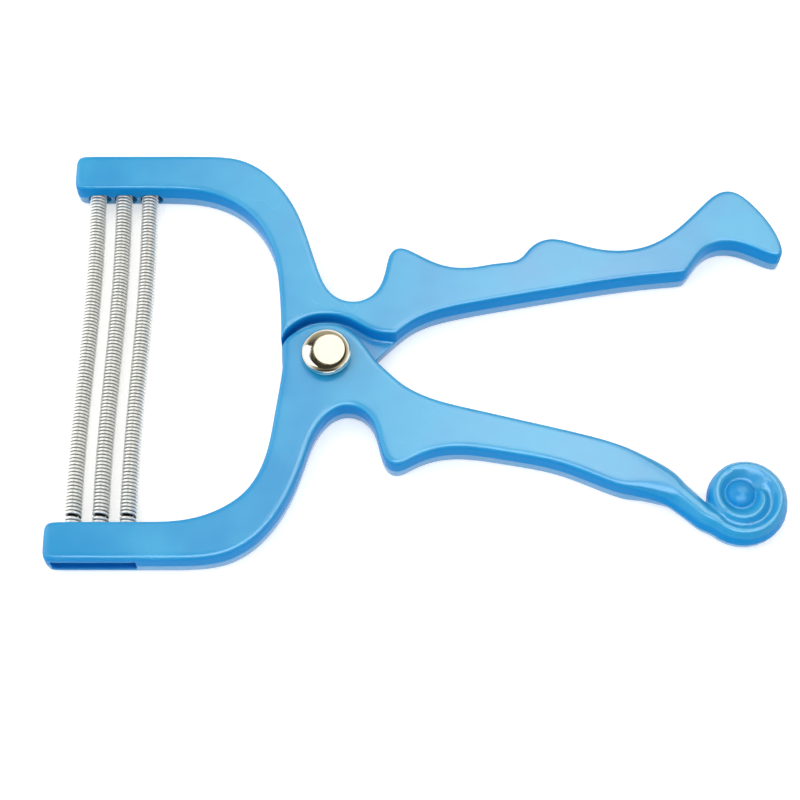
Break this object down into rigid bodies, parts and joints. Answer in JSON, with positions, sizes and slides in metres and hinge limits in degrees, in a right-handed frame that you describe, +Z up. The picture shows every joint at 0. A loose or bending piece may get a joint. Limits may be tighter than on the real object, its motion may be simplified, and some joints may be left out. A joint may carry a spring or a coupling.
{
  "type": "facial hair removal spring",
  "caption": "Hand tool with two riveted plastic levers that stretch close-wound springs between their jaws, for rolling over facial hair.",
  "frame": {"origin": "centre of the rivet's flat tail, where its axis meets the resting plane", "axes": "+X from the rivet along the handles, +Y from the lower jaw to the upper jaw, +Z up, along the rivet's axis to its domed head"},
  "size_m": [0.1478, 0.0904, 0.0106],
  "materials": {
    "lever_plastic": "glossy moulded, sky blue",
    "nickel": "polished nickel plate",
    "spring_steel": "bright drawn wire",
    "pin_steel": "plain steel"
  },
  "bodies": {
    "upper": {"upper_lever": "lever_plastic", "rivet": "nickel", "upper_pin_outer": "pin_steel", "upper_pin_middle": "pin_steel", "upper_pin_inner": "pin_steel"},
    "lower": {"lower_lever": "lever_plastic"},
    "outer_spring": {"spring_outer": "spring_steel"},
    "middle_spring": {"spring_middle": "spring_steel"},
    "inner_spring": {"spring_inner": "spring_steel"},
    "outer_foot": {"lower_pin_outer": "pin_steel"},
    "middle_foot": {"lower_pin_middle": "pin_steel"},
    "inner_foot": {"lower_pin_inner": "pin_steel"}
  },
  "joints": [
    {"name": "lever_pivot", "type": "hinge", "parent": "upper", "child": "lower", "pos_m": [0, 0, 0.00375], "axis": [0, 0, 1], "range_deg": [0, 24], "stiffness_Nm_per_rad": 0.3, "deforming": ["spring_outer", "spring_middle", "spring_inner"]},
    {"name": "outer_swing", "type": "hinge", "parent": "upper", "child": "outer_spring", "pos_m": [-0.0486, 0.0427, 0.0024], "axis": [0, 0, 1], "range_deg": [0, 12]},
    {"name": "middle_swing", "type": "hinge", "parent": "upper", "child": "middle_spring", "pos_m": [-0.0432, 0.0427, 0.0024], "axis": [0, 0, 1], "range_deg": [0, 12]},
    {"name": "inner_swing", "type": "hinge", "parent": "upper", "child": "inner_spring", "pos_m": [-0.0378, 0.0427, 0.0024], "axis": [0, 0, 1], "range_deg": [0, 12]},
    {"name": "outer_stretch", "type": "slide", "parent": "outer_spring", "child": "outer_foot", "axis": [-0.0097, -1, 0], "range_m": [0, 0.019]},
    {"name": "middle_stretch", "type": "slide", "parent": "middle_spring", "child": "middle_foot", "axis": [-0.0097, -1, 0], "range_m": [0, 0.017]},
    {"name": "inner_stretch", "type": "slide", "parent": "inner_spring", "child": "inner_foot", "axis": [-0.0097, -1, 0], "range_m": [0, 0.015]}
  ],
  "couplings": [
    {"joint": "outer_swing", "follows": "lever_pivot", "ratio": 0.4887},
    {"joint": "middle_swing", "follows": "lever_pivot", "ratio": 0.488},
    {"joint": "inner_swing", "follows": "lever_pivot", "ratio": 0.4872},
    {"joint": "outer_stretch", "follows": "lever_pivot", "m_per_rad": 0.04513},
    {"joint": "middle_stretch", "follows": "lever_pivot", "m_per_rad": 0.03978},
    {"joint": "inner_stretch", "follows": "lever_pivot", "m_per_rad": 0.03439}
  ]
}
